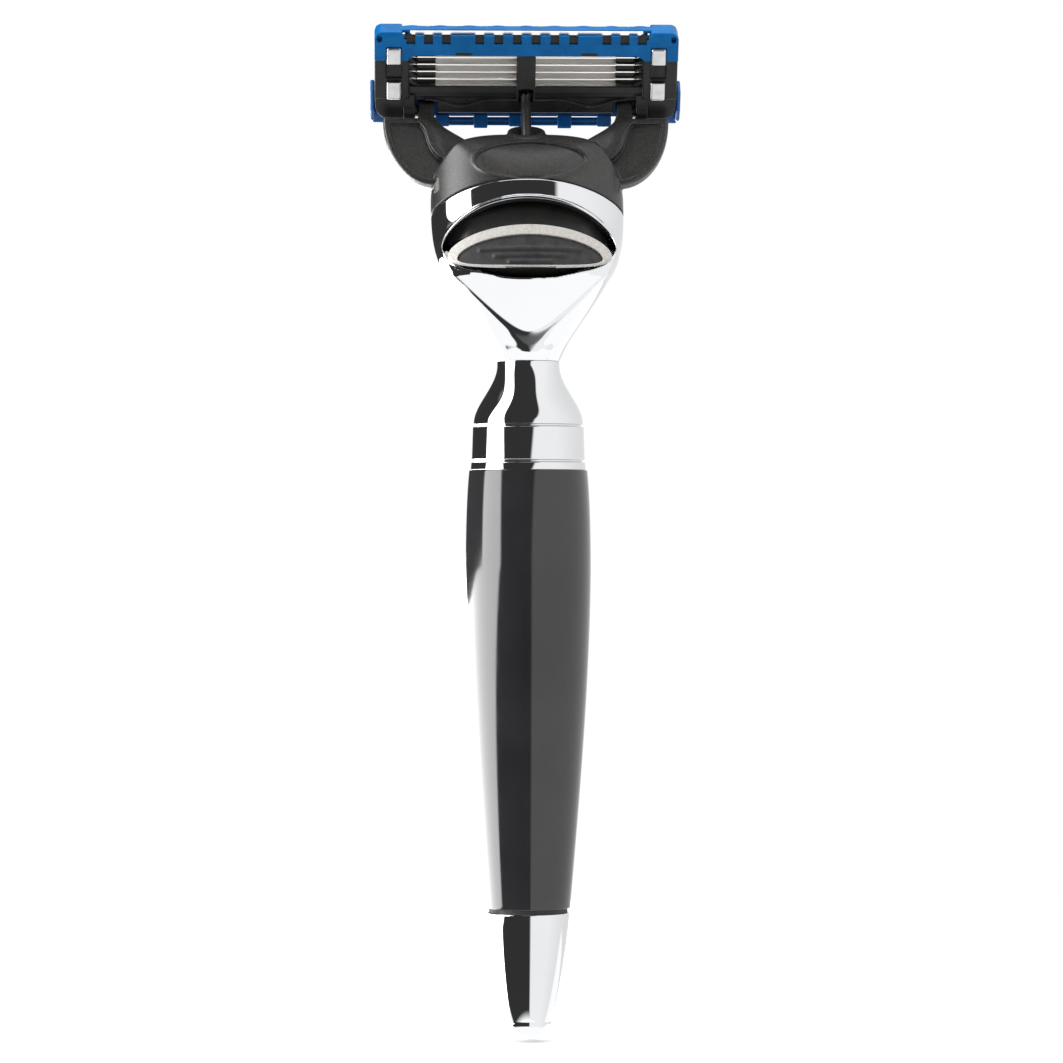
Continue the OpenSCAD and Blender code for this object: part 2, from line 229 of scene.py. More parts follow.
def surface_net(field, low, high, step):
    """Vertices, four-sided faces and normals of the surface where a field is zero."""
    axes = [np.arange(a - 1.5 * step, b + 2 * step, step) for a, b in zip(low, high)]
    size = [len(a) for a in axes]
    value = np.broadcast_to(field(*np.ix_(*axes)), size)
    stride = np.array([size[1] * size[2], size[2], 1])
    cells, crossings, rings = [], [], []
    for axis in range(3):
        near = np.take(value, range(size[axis] - 1), axis)
        far = np.take(value, range(1, size[axis]), axis)
        index = np.argwhere((near < 0) != (far < 0))
        a, b = near[tuple(index.T)], far[tuple(index.T)]
        point = np.stack([axes[k][index[:, k]] for k in range(3)], 1)
        point[:, axis] += step * a / (a - b)
        u, v = (axis + 1) % 3, (axis + 2) % 3
        inner = (index[:, u] > 0) & (index[:, v] > 0)
        index, point, outward = index[inner], point[inner], (a < 0)[inner]
        base = index @ stride
        ring = np.stack([base, base - stride[u], base - stride[u] - stride[v], base - stride[v]], 1)
        cells.append(ring.ravel())
        crossings.append(np.repeat(point, 4, 0))
        rings.append(np.where(outward[:, None], ring, ring[:, ::-1]))
    ids, place = np.unique(np.concatenate(cells), return_inverse=True)
    crossings = np.concatenate(crossings)
    counts = np.bincount(place)
    points = np.stack([np.bincount(place, crossings[:, k]) / counts for k in range(3)], 1)
    faces = np.searchsorted(ids, np.concatenate(rings))
    for _ in range(3):
        value, gradient = slope_of(field, points, step * 0.05)
        length = np.maximum((gradient**2).sum(1), 0.05)
        move = np.clip(value / length, -0.5 * step, 0.5 * step)
        points -= move[:, None] * gradient
    normals = slope_of(field, points, step * 0.25)[1]
    normals /= np.maximum(np.linalg.norm(normals, axis=1), 1e-9)[:, None]
    return points, faces, normals


def new_piece(name, points, faces, place, material, body, node, normals=None):
    """A mesh object in the row's frame, on its body, standing for its CAD node."""
    mesh = bpy.data.meshes.new(name)
    mesh.from_pydata([place @ Vector(p) for p in points], [], [list(map(int, f)) for f in faces])
    mesh.polygons.foreach_set("use_smooth", [True] * len(mesh.polygons))
    if normals is not None:
        turn = np.array(place.to_3x3().normalized())
        mesh.normals_split_custom_set_from_vertices((normals @ turn.T).tolist())
    mesh.materials.append(material)
    piece = bpy.data.objects.new(name, mesh)
    bpy.context.scene.collection.objects.link(piece)
    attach(piece, body)
    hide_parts(node)
    return piece


def carve(name, field, low, high, step, place, material, body, node):
    """A piece meshed from a distance field."""
    points, faces, normals = surface_net(field, low, high, step)
    return new_piece(name, points, faces, place, material, body, node, normals)


def rounded(outline, r, steps=6):
    """An open outline with its corners rounded to about r."""
    result = [outline[0]]
    for before, corner, after in zip(outline, outline[1:], outline[2:]):
        before, corner, after = map(np.array, (before, corner, after))
        back, on = before - corner, after - corner
        if np.dot(back, on) < -0.98 * np.linalg.norm(back) * np.linalg.norm(on):
            result.append(tuple(corner))
            continue
        reach = min(r, np.linalg.norm(back) / 2, np.linalg.norm(on) / 2)
        start = corner + back / np.linalg.norm(back) * reach
        end = corner + on / np.linalg.norm(on) * reach
        for i in range(steps + 1):
            t = i / steps
            result.append(tuple((1 - t) ** 2 * start + 2 * t * (1 - t) * corner + t * t * end))
    result.append(outline[-1])
    return result


def turned(name, outline, material, node):
    """A piece of the handle, turned about its axis from an outline of radius and height."""
    around = 192
    points, rings = [], []
    for r, z in outline:
        if r < 1e-6:
            rings.append([len(points)] * around)
            points.append((0, 0, z))
            continue
        rings.append(list(range(len(points), len(points) + around)))
        for i in range(around):
            t = 2 * math.pi * i / around
            points.append((r * math.cos(t), r * math.sin(t), z))
    faces = []
    for low, high in zip(rings, rings[1:]):
        for i in range(around):
            j = (i + 1) % around
            face = [low[i], low[j], high[j], high[i]]
            faces.append(list(dict.fromkeys(face))[::-1])
    return new_piece(name, points, faces, ROW, material, "handle", node)


def curve(a, b, c, d, n=40):
    """Points of a cubic curve."""
    a, b, c, d = map(np.array, (a, b, c, d))
    result = []
    for i in range(n + 1):
        t = i / n
        s = 1 - t
        result.append(tuple(s**3 * a + 3 * s * s * t * b + 3 * s * t * t * c + t**3 * d))
    return result


def extruded(outline, x0, x1, start=0):
    """Points and faces of a prism along x, numbered from start."""
    n = len(outline)
    points = [(x, w, v) for x in (x0, x1) for w, v in outline]
    first, last = range(start, start + n), range(start + n, start + 2 * n)
    faces = [[first[i - 1], first[i], last[i], last[i - 1]] for i in range(1, n)]
    faces.append([first[-1], first[0], last[0], last[-1]])
    faces += [list(first)[::-1], list(last)]
    return points, faces


def sharp_piece(piece, angle=35):
    """Shades a piece smooth, with edges over an angle kept sharp."""
    bpy.context.view_layer.objects.active = piece
    piece.select_set(True)
    bpy.ops.object.shade_smooth_by_angle(angle=math.radians(angle))
    piece.select_set(False)


# ---------------------------------------------------------------- materials

def node_of(tree, kind, **values):
    """A shader node with its settings, and its sockets set by name."""
    node = tree.nodes.new(kind)
    for key, value in values.items():
        if hasattr(node, key):
            setattr(node, key, value)
        else:
            node.inputs[key.replace("_", " ")].default_value = value
    return node


def noise_at(tree, scale, stretch, detail):
    """A noise in the object's own space, at a scale per metre."""
    place = node_of(tree, "ShaderNodeTexCoord")
    mapping = node_of(tree, "ShaderNodeMapping")
    mapping.inputs["Scale"].default_value = stretch
    noise = node_of(tree, "ShaderNodeTexNoise", Scale=scale, Detail=detail)
    tree.links.new(place.outputs["Object"], mapping.inputs["Vector"])
    tree.links.new(mapping.outputs["Vector"], noise.inputs["Vector"])
    return noise.outputs["Fac"]


# The stretch of a noise's values in which most of it lies
NOISE_LOW, NOISE_HIGH = 0.3, 0.7


def ramp_of(tree, noise, low, high):
    """A colour that runs from low to high with a noise."""
    ramp = node_of(tree, "ShaderNodeValToRGB")
    ramp.color_ramp.elements[0].position = NOISE_LOW
    ramp.color_ramp.elements[0].color = (*low, 1)
    ramp.color_ramp.elements[1].position = NOISE_HIGH
    ramp.color_ramp.elements[1].color = (*high, 1)
    tree.links.new(noise, ramp.inputs["Fac"])
    return ramp.outputs["Color"]


def range_of(tree, value, start, end, low=0.0, high=1.0):
    """A number that runs from low to high as a value goes from start to end."""
    mapped = node_of(tree, "ShaderNodeMapRange")
    mapped.inputs["From Min"].default_value = start
    mapped.inputs["From Max"].default_value = end
    mapped.inputs["To Min"].default_value = low
    mapped.inputs["To Max"].default_value = high
    tree.links.new(value, mapped.inputs["Value"])
    return mapped.outputs["Result"]


EVEN = (1, 1, 1)
ALONG_X = (0.04, 1, 1)
ALONG_Z = (1, 1, 0.1)


def surface(name, tones, rough, grain, metal=0.0, mottle=300.0, stretch=EVEN, specular=0.5):
    """A material with two tones in a mottle, uneven roughness and a grain in relief.

    grain is (scale per metre, height in millimetres, stretch).
    """
    material = bpy.data.materials.new(name)
    material.use_nodes = True
    tree = material.node_tree
    shader = tree.nodes["Principled BSDF"]
    shader.inputs["Metallic"].default_value = metal
    shader.inputs["Specular IOR Level"].default_value = specular
    patches = noise_at(tree, mottle, stretch, detail=3.0)
    tree.links.new(ramp_of(tree, patches, *tones), shader.inputs["Base Color"])
    wear = noise_at(tree, mottle * 2.3, stretch, detail=5.0)
    uneven = range_of(tree, wear, NOISE_LOW, NOISE_HIGH, *rough)
    tree.links.new(uneven, shader.inputs["Roughness"])
    scale, height, direction = grain
    bump = node_of(tree, "ShaderNodeBump", Strength=1.0, Distance=height * MM)
    tree.links.new(noise_at(tree, scale, direction, detail=2.0), bump.inputs["Height"])
    tree.links.new(bump.outputs["Normal"], shader.inputs["Normal"])
    return material


chrome = surface(
    "chrome", ((0.62, 0.63, 0.645), (0.66, 0.665, 0.675)), (0.025, 0.055),
    (900, 0.0004, EVEN), metal=1.0, mottle=60,
)
black_resin = surface(
    "black_resin", ((0.010, 0.010, 0.011), (0.016, 0.016, 0.017)), (0.05, 0.10),
    (500, 0.0006, EVEN), mottle=90, specular=0.55,
)
charcoal = surface(
    "charcoal_plastic", ((0.009, 0.0085, 0.008), (0.020, 0.019, 0.018)), (0.26, 0.38),
    (9000, 0.010, EVEN), mottle=2600, specular=0.5,
)
frame_black = surface(
    "black_plastic", ((0.006, 0.006, 0.006), (0.012, 0.012, 0.012)), (0.26, 0.42),
    (6000, 0.004, EVEN), mottle=500, specular=0.25,
)
nylon = surface(
    "black_nylon", ((0.008, 0.008, 0.008), (0.014, 0.014, 0.013)), (0.30, 0.44),
    (7000, 0.004, EVEN), mottle=450, specular=0.3,
)
satin = surface(
    "satin_metal", ((0.36, 0.345, 0.325), (0.46, 0.44, 0.415)), (0.46, 0.58),
    (11000, 0.010, EVEN), metal=0.55, mottle=2500,
)
pad_rubber = surface(
    "pad_rubber", ((0.010, 0.010, 0.011), (0.020, 0.020, 0.021)), (0.46, 0.60),
    (10000, 0.008, EVEN), mottle=900, specular=0.35,
)
blue = surface(
    "blue_plastic", ((0.000, 0.066, 0.200), (0.001, 0.088, 0.262)), (0.24, 0.36),
    (5000, 0.003, EVEN), mottle=400, specular=0.08,
)
guard_blue = surface(
    "guard_blue_plastic", ((0.001, 0.055, 0.190), (0.002, 0.075, 0.250)), (0.28, 0.42),
    (5000, 0.004, EVEN), mottle=400, specular=0.25,
)
blade_steel = surface(
    "blade_steel", ((0.80, 0.785, 0.765), (0.90, 0.885, 0.865)), (0.26, 0.38),
    (6000, 0.002, ALONG_X), metal=1.0, mottle=900, stretch=ALONG_X,
)
clip_metal = surface(
    "clip_metal", ((0.46, 0.46, 0.465), (0.56, 0.56, 0.565)), (0.26, 0.40),
    (5000, 0.003, (1, 1, 0.06)), metal=1.0, mottle=600,
)
strip_polymer = surface(
    "strip_polymer", ((0.50, 0.68, 0.62), (0.60, 0.76, 0.70)), (0.34, 0.52),
    (2600, 0.03, ALONG_X), mottle=700, stretch=ALONG_X,
)
fin_rubber = surface(
    "fin_rubber", ((0.006, 0.030, 0.130), (0.010, 0.045, 0.170)), (0.46, 0.60),
    (8000, 0.005, EVEN), mottle=700,
)
rod_steel = surface(
    "steel_rod", ((0.42, 0.42, 0.43), (0.55, 0.55, 0.56)), (0.25, 0.38),
    (4000, 0.003, ALONG_Z), metal=1.0, mottle=500,
)
washer_rubber = surface(
    "washer_rubber", ((0.012, 0.012, 0.012), (0.020, 0.020, 0.020)), (0.6, 0.75),
    (6000, 0.006, EVEN), mottle=600,
)

for node, material in {
    "tie_rod": rod_steel, "return_spring": rod_steel, "plunger_spring": rod_steel,
    "cap_washer": washer_rubber,
}.items():
    hidden = frame["nodes"][node]
    hidden.data.materials.clear()
    hidden.data.materials.append(material)

# ---------------------------------------------------------------- handle

GRIP_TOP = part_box("grip_sleeve")[1].z / MM
GRIP_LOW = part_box("grip_sleeve")[0].z / MM
CAP_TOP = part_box("end_cap")[1].z / MM
TIP_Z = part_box("end_cap")[0].z / MM


def grip_outline():
    """The barrel's section: it swells to the belly and tapers to the end cap."""
    belly = GRIP_TOP - 13.3
    upper = curve((7.97, GRIP_TOP), (8.32, GRIP_TOP - 3.2), (GRIP_R, belly + 5), (GRIP_R, belly))
    lower = curve((GRIP_R, belly), (8.35, belly - 15), (6.85, belly - 32), (5.65, GRIP_LOW), 80)
    sides = [(BORE_R, GRIP_TOP), (7.97, GRIP_TOP)] + upper[1:] + lower[1:] + [(BORE_R, GRIP_LOW)]
    return rounded(sides, 0.16) + [(BORE_R, GRIP_TOP)]


def cap_outline():
    """The end cap's section: a long taper with a domed tip, and the tie rod's blind hole."""
    shoulder = (3.1, TIP_Z + 2.4)
    side = curve((5.6, CAP_TOP), (5.1, CAP_TOP - 5.5), (3.9, CAP_TOP - 12), shoulder, 60)
    tip = [
        (3.1 * math.cos(t), shoulder[1] - 2.4 * math.sin(t))
        for t in np.linspace(0, math.pi / 2, 40)[1:-1]
    ]
    corner = rounded([(BORE_R, CAP_TOP), (5.6, CAP_TOP), side[6]], 0.14)
    return [(0, CAP_TOP - 10), (BORE_R, CAP_TOP - 10)] + corner + side[7:] + tip + [(0, TIP_Z)]


def collar_outline():
    """The collar's section: a flare from the waist, and two turned grooves."""
    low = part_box("collar")[0].z / MM
    flare = curve((WAIST_R, -0.6), (4.25, -3.2), (7.0, -5.6), (7.33, -7.9), 60)
    steps = [(7.38, -8.47)]
    for top, r, after in ((-8.5, 7.38, 7.48), (-13.3, 7.62, 7.70)):
        steps += [(r, top), (r - 0.3, top - 0.08), (r - 0.3, top - 0.3), (after, top - 0.4)]
    foot = [(7.77, low), (BORE_R, low)]
    sides = [(BORE_R, 0), (WAIST_R, 0)] + flare + steps + foot
    return rounded(sides, 0.1) + [(BORE_R, 0)]


turned("grip_barrel", grip_outline(), black_resin, "grip_sleeve")
turned("end_cap_chrome", cap_outline(), chrome, "end_cap")
turned("collar_chrome", collar_outline(), chrome, "collar")

# ---------------------------------------------------------------- head

# A level cut of the head is an oval. These give its half width, its centre and the depth of
# its back at each height, and LEVEL_B is the half depth where it has become the dock's oval.
LEVEL_B = MOUTH_B / math.cos(DOCK_LEAN)
half_width = spline([
    (-1, 3.75), (0, WAIST_R), (2, 5.12), (5, 7.03), (8.3, 9.26), (11.4, 11.1), (14, 12.3),
    (17, 12.92), (20, MOUTH_A), (25, MOUTH_A),
])
centre_y = spline([(0, 0), (3, -0.05), (7, -0.15), (11, 0.1), (15, 1.5), (20, 4.33), (25, 7.22)])
back_b = spline([
    (0, WAIST_R), (3, 4.5), (6, 5.1), (9, 5.9), (12, 6.9), (15, 7.5), (20, LEVEL_B), (25, LEVEL_B),
])
FACET_Z = 1.2
FACET_TOP = 12
BROW_R = 40.0


def facet_depth(x, z):
    """Depth of the facet under the button: shallow at its tip, steeper inside a U."""
    turn = 0.15
    inside = z - FACET_Z - np.sqrt(6 + (0.95 * x) ** 2)
    return 4.78 + 0.18 * (z - FACET_Z) + 0.2 * turn * np.logaddexp(0, inside / turn)


def front_depth(z):
    """Depth of the head's front that meets the facet along the two sides of a V."""
    edge = 1.03 * max(z - FACET_Z, 0)
    return facet_depth(edge, z) / math.sqrt(1 - (edge / half_width(z)) ** 2)


# The front's depth: flared at the waist, along the facet's V, then out of the facet's way
front_b = spline(
    [(0, WAIST_R), (0.6, 4.46), (FACET_Z, 4.8), (2, 5.1), (3, 5.5)]
    + [(z, front_depth(z)) for z in range(4, 11)]
    + [(11.4, 20), (13, 20), (16, 11), (20, LEVEL_B), (25, LEVEL_B)]
)


def thumb_hole(x, q):
    """The opening for the button, in the dock's x and q."""
    return oval(x, q - 0.6, 11.7, 6.6, 6.0)


def rim_height(x):
    """How far up the dock the head's rim reaches: it dips towards the sides."""
    return MOUTH_Q + 0.45 - 2.1 * (x / MOUTH_A) ** 2


def head_field(x, y, z):
    """The head: ovals on a bent axis, with a facet, a rim, a hollow and the button's opening."""
    p, q = dock_of(y, z)
    level = np.clip(z, 0, 25)
    across = y - centre_y(level)
    depth = np.where(across > 0, back_b(level), front_b(level))
    solid = oval(x, across, half_width(level), depth)
    facet = either(-facet_depth(x, level) - y, z - FACET_Z, 0.3)
    facet = either(facet, FACET_TOP - z, 1.0)
    solid = both(solid, facet, 0.22)
    brow = BROW_R - MOUTH_B - np.sqrt(np.maximum(BROW_R**2 - x**2, 1)) - p
    solid = both(solid, brow, 0.4)
    solid = both(solid, -z, 0.12)
    outer = both(solid, q - rim_height(x), 0.3)
    hollow = both(both(oval(x, p, 11.7, 5.4), 2.5 - q), solid + 0.9, 0.3)
    solid = without(outer, hollow, 0.3)
    solid = without(solid, both(oval(x, p, 8.9, 4.9), layer(q, DECK_LOW - 0.4, 3)), 0.2)
    hole = thumb_hole(x, q)
    solid = without(solid, both(hole, p + 1, 0.3), 0.3)
    skin = np.maximum(np.abs(outer + 0.35) - 0.5, p + 1)
    lip = both(np.abs(hole - 0.22) - 0.3, skin, 0.35)
    return either(solid, lip, 0.15)


carve(
    "head_chrome", head_field, (-13.3, -10, 0), (13.3, 12, 25.1), 0.16, ROW, chrome, "handle",
    "head_shell",
)


def insert_field(x, p, q):
    """The black core in the head, with the snout, its two latches and the three bores."""
    core = both(oval(x, p, 11.62, 5.32), layer(q, 2.56, 9.8), 0.2)
    core = both(core, -4.42 + 0.008 * x**2 - p, 0.3)
    core = both(core, q - rim_height(x) + 0.5, 0.2)
    slim = np.minimum(p + 1.6, np.abs(x) - 7.1)
    core = both(core, slim, 0.2)
    snout = box(x, p, q, (-6, -4.6, 9), (6, 3.2, 15.5), 0.5)
    bump = [(5, 12), (6, 12), (6.25, 13), (6.25, 14), (5.9, 14.6), (5, 14.6)]
    latch = both(polygon(np.abs(x), q, bump), np.abs(p) - 1.5, 0.15)
    core = either(either(core, snout, 0.2), latch)
    core = without(core, both(rod(x, p - PLUNGER_P, 0.79), 12 - q), 0.1)
    core = without(core, both(rod(x, p - PLUNGER_P, 1.5), layer(q, 3.4, 13.6)))
    return without(core, both(rod(x, p - RETURN_P, 1.6), q - 8))


carve(
    "dock_core", insert_field, (-11.7, -5.4, 2.4), (11.7, 5.4, 15.6), 0.16, DOCK, nylon,
    "handle", "dock_insert",
)

# ---------------------------------------------------------------- release button

THUMB_P = 21.8
THUMB_R = 30.0


def thumb_depth(x, p):
    """How deep a point lies under the thumb's curved surface."""
    return THUMB_R - np.sqrt(x**2 + (p - THUMB_P) ** 2)


def ejector_field(x, p, q):
    """The button's block, the deck behind it and the two legs that reach up to the yoke."""
    taper = 0.5 * np.clip(0.35 * (p + 7.7), 0, 1)
    block = both(oval(x, q + 2, 9.3, 3.1, 2.6) + taper, 0.5 - thumb_depth(x, p), 0.1)
    block = both(block, p + 4.6, 0.15)
    web = box(x, p, q, (-6.5, -4.7, DECK_LOW), (6.5, -3, DECK_HIGH), 0.15)
    deck = both(oval(x, p, 8.55, 4.55), layer(q, DECK_LOW, DECK_HIGH), 0.2)
    legs = box(np.abs(x), p, q, (7.4, -1.2, DECK_LOW), (8.3, 1.2, 9.7), 0.2)
    return either(either(either(block, web, 0.2), deck, 0.2), legs, 0.2)


carve(
    "button_block", ejector_field, (-9.6, -8.2, -5), (9.6, 4.8, 9.9), 0.14, DOCK, nylon,
    "ejector", "ejector_slide",
)


def ring_field(x, p, q):
    """The crescent round the pad, with the fine seam at its top."""
    depth = thumb_depth(x, p)
    ring = both(oval(x, q + 1.9, 11, 3.75, 3.05), layer(depth, 0.02, 0.5), 0.14)
    ring = without(ring, oval(x, q + 2.65, 9.72, 2.92, 2.02), 0.08)
    seam = both(np.abs(x - 0.3) - 0.035, depth - 0.07)
    return without(ring, seam)


carve(
    "button_bezel", ring_field, (-11.1, -8.4, -4.7), (11.1, -5, 2.5), 0.07, DOCK, satin,
    "ejector", "button_ring",
)


def pad_field(x, p, q):
    """The soft pad with three raised arcs, each shorter than the one above it."""
    depth = thumb_depth(x, p)
    relief = 0
    for i, reach in enumerate((6.6, 4.6, 2.7)):
        arc = q + 1.95 + 1.02 * i - 0.006 * x**2
        off = rod(np.maximum(np.abs(x) - reach, 0), arc, 0.33)
        relief = relief + 0.26 / (1 + np.exp(off / 0.08))
    pad = both(oval(x, q + 2.65, 9.62, 2.84, 1.96), 0.26 - relief - depth, 0.12)
    return both(pad, depth - 0.5)


carve(
    "button_grip", pad_field, (-9.8, -8.4, -4.6), (9.8, -6, 0.9), 0.07, DOCK, pad_rubber,
    "ejector", "button_pad",
)

# ---------------------------------------------------------------- plunger

def plunger_field(x, p, q):
    """The rod with its flange and its round, split tip."""
    p = p - PLUNGER_P
    stem_r = 0.70
    radius = np.sqrt(x**2 + p**2)
    girth = stem_r - 0.10 * bell(q - 25.4, 0.9)
    stem = both(radius - girth, layer(q, 10, PLUNGER_TIP - stem_r), 0.05)
    head = np.sqrt(radius**2 + (q - PLUNGER_TIP + stem_r) ** 2) - stem_r
    stem = either(stem, head, 0.15)
    flange = both(radius - 1.4, layer(q, 12.2, 13.3), 0.1)
    tail = both(radius - 0.6, layer(q, 9, 12.4), 0.1)
    split = 0.17 + 0.1 * np.maximum(q - PLUNGER_TIP + 0.8, 0)
    notch = both(np.abs(x) - split, PLUNGER_TIP - 0.9 - q)
    return without(either(either(stem, flange, 0.05), tail), notch, 0.12)


carve(
    "plunger_pin", plunger_field, (-1.5, -4.3, 9), (1.5, -1.3, 27.3), 0.07, DOCK, nylon,
    "plunger", "plunger",
)

# ---------------------------------------------------------------- yoke

def wing_outline():
    """One wing in x and q: the outer arc, the flat end, and the inner curve to the dome."""
    outer = [
        (12.6 + 7.0 * math.cos(t), 23.2 + 11.0 * math.sin(t))
        for t in np.linspace(-math.pi / 2, 0, 17)
    ]
    inner = curve((12.4, 23.8), (11.6, 21.9), (9.6, 20.9), (5.5, 20.5), 12)
    return [(0, 10.6), (12.6, 11.2)] + outer + [(14.9, 23.2)] + inner + [(0, 20)]


WING = wing_outline()
WING_HALF = 2.6

# Where a wing's sunk panel ends in a curved ridge: x at each height q
panel_edge = spline([
    (12.0, 8.6), (15.6, 9.6), (16.2, 10.9), (17.1, 12.0), (18.6, 12.9), (20.4, 13.4),
    (22.1, 14.2), (23.2, 15.4),
])


def yoke_field(x, p, q):
    """The yoke: a dome with a blank oval, two wings, the plunger's boss, and the fingers."""
    side = np.abs(x)
    dome = both(oval(x, p, 13.2, 6.6), rim_height(x) + 0.06 - q, 0.2)
    dome = both(dome, oval(x, q - 10.6, 13.3, 10.4, 30), 0.5)
    dome = both(dome, oval(p, q - 10, 6.6, 11.2, 30), 0.8)
    mark = oval(x - 0.3, height_of(p, q) - 27.35, 7.7, 2.75)
    dome = dome - np.where(p < 0, 0.2 * bell(mark, 0.17) - 0.1 * (mark < -0.15), 0)

    plate = polygon(side, q, WING)
    wing = both(plate, np.abs(p) - WING_HALF, 0.45)
    wing = both(wing, (plate + 0.9 * (p + 1.1)) / 1.35, 0.3)
    edge = panel_edge(q)
    outward = 0.9 * (side - edge)
    sunk = both(plate + 0.95, -outward, 0.3)
    floor = 1.75 + 0.07 * (side - 12.6)
    wing = without(wing, both(sunk, floor - np.abs(p), 0.1), 0.12)
    slope = WING_HALF + 0.42 * np.clip(outward + 0.7, -6, 0)
    wing = both(wing, -p - slope, 0.4)
    ridge = both(both(np.abs(side - edge - 0.1) - 0.22, plate + 0.6), np.abs(p) - WING_HALF, 0.2)
    wing = either(wing, both(ridge, -p - WING_HALF - 0.15, 0.2), 0.1)
    body = either(dome, wing, 0.35)

    slant = (q - 20.7 - 1.2 * (p - PLUNGER_P)) / 1.56
    boss = both(both(oval(x, p - PLUNGER_P, 2.6, 1.85), slant, 0.25), 17 - q)
    body = either(body, boss, 0.3)
    mouth = both(oval(x, p + 2.7, 2.05, 1.3), 17.6 - q, 0.3)
    body = without(body, mouth, 0.2)

    finger = np.where(q > PIVOT_Q, rod(p, q - PIVOT_Q, 1.45), np.abs(p) - 1.45)
    finger = both(both(finger, layer(side, 12.55, 14.75), 0.25), 21.5 - q)
    body = either(body, finger, 0.5)
    stub = both(rod(p, q - PIVOT_Q, 0.88), layer(side, 14, 16.35), 0.1)
    body = either(body, stub)

    socket = box(x, p, q, (-6.3, -4.9, 8), (6.3, 3.5, 15.8), 0.3)
    body = without(body, socket, 0.15)
    return without(body, both(rod(x, p - PLUNGER_P, 1.05), 14 - q), 0.15)


carve(
    "yoke_moulding", yoke_field, (-19.6, -6.8, 8.2), (19.6, 6.8, 27.6), 0.15, DOCK, charcoal,
    "yoke", "yoke",
)

# ---------------------------------------------------------------- cartridge

def swing(w, v, step, tip, fall, r):
    """What a round-ended bar of the dock sweeps in the cartridge over its turn.

    tip is the bar's end, in p and q from the pivot, and it falls along q as the cartridge turns.
    """
    swept = None
    reach = 9.0
    full = JOINTS["cartridge_pivot"]["range_deg"][1]
    for turn in np.arange(0, full + 0.1, step):
        angle = DOCK_LEAN + CARTRIDGE_LEAN + math.radians(turn)
        p = w * math.cos(angle) - v * math.sin(angle)
        q = w * math.sin(angle) + v * math.cos(angle)
        p, q = p - tip[0], q - tip[1] + fall * turn / full
        one = np.where(q > 0, np.sqrt(p**2 + q**2), np.maximum(np.abs(p), -q - reach)) - r
        swept = one if swept is None else np.minimum(swept, one)
    return swept


def frame_field(x, w, v):
    """The black frame: its ends, beams and moulded back, less the room for pivot and plunger."""
    side = np.abs(x)
    ends = box(side, w, v, (16, -1.6, 2.4), (HALF_W, 1.9, 10.1), 0.25)
    foot = box(side, w, v, (16.7, -1.5, -0.6), (HALF_W, 1.9, 4), 0.3)
    beam = box(x, w, v, (-16.6, -0.5, 9.1), (16.6, 1.9, 11.75), 0.12)
    wall = box(x, w, v, (-16.2, -1.58, 9.1), (16.2, -1.36, 11.75), 0.05)
    top = box(x, w, v, (-16.6, -1.58, 9.1), (16.6, 0, 10.1), 0.12)
    rail = box(x, w, v, (-16.6, -0.62, 2.3), (16.6, 1.9, 3.3), 0.1)
    sill = box(x, w, v, (-16.2, -1.0, 3.0), (16.2, -0.74, 4.05), 0.06)
    plate = box(x, w, v, (-16.1, -0.55, 0.1), (16.1, 0.9, 3), 0.12)
    wave = 2.3 - 1.0 * bell(side - 9.0, 2.6)
    lip = both(box(x, w, v, (-13.9, -1.0, 0.15), (13.9, -0.3, 4), 0.1), v - wave, 0.15)
    rim_band = box(x, w, v, (-13.9, -1.15, -1), (13.9, 0, 4), 0.1)
    rim = both(np.abs(v - wave + 0.12) - 0.14, rim_band, 0.08)
    rib = box(x, w, v, (-1.3, -1.6, 2.4), (1.3, -0.75, 9.3), 0.12)
    solid = ends
    for part in (foot, beam, wall, top, rail, sill, plate, lip, rim, rib):
        solid = either(solid, part, 0.08)
    pad = box(side, w, v, (7.3, -1.58, 8.75), (9.9, -1.2, 9.5), 0.05)
    stop = box(side, w, v, (15.7, -1.58, 9.5), (17.1, -1.36, 11.9), 0.05)
    solid = either(either(solid, pad), stop)
    for i in range(BLADES + 1):
        between = v - (BLADE_V0 + BLADE_PITCH * (i - 0.5))
        bar = box(side, w, v, (12.4, 0.3, 2.9), (16.4, 1.22, 9.3), 0.05)
        bar = both(bar, np.abs(between) - 0.4)
        tooth = box(side, w, v, (14.9, -1.0, 2.9), (16.6, 1.2, 9.3), 0.05)
        tooth = both(tooth, np.abs(between - 0.4 * (side - 15.2)) - 0.2, 0.05)
        solid = either(either(solid, bar), tooth)
    lug = both(rod(w, v, 1.9), layer(side, 15.2, 16.8), 0.15)
    neck = box(side, w, v, (15.2, -1.5, 0), (16.8, 1.9, 3), 0.15)
    solid = either(either(solid, lug, 0.1), neck, 0.1)
    solid = without(solid, both(swing(w, v, 10, (0, 0), 0, 1.75), layer(side, 12.2, 15.1)), 0.08)
    solid = without(solid, both(rod(w, v, 0.95), layer(side, 14.9, 16.55)))
    tip = (PLUNGER_P, PLUNGER_TIP - 0.72 - PIVOT_Q)
    solid = without(solid, both(swing(w, v, 4, tip, 2.5, 0.84), side - 1.0), 0.08)
    seat = box(side, w, v, (16, 1.55, 2.8), (18.5, 3, 9.1), 0.05)
    slots = np.minimum(
        box(side, w, v, (CLIP_NEAR, -3, 2.45), (CLIP_FAR, 3, 2.8), 0.02),
        box(side, w, v, (CLIP_NEAR, -3, 9.75), (CLIP_FAR, 3, 10.2), 0.02),
    )
    pocket = box(side, w, v, (17.0, -2, 5.5), (19.2, -1.2, 7.4), 0.1)
    corner = [
        (-1, -5), (18, -5), (19.0, -0.7), (20.1, -0.1), (20.65, 0.9), (HALF_W, 2.2),
        (HALF_W, 14), (-1, 14),
    ]
    solid = both(solid, polygon(side, v, corner), 0.15)
    return without(without(without(solid, seat), slots), pocket, 0.08)


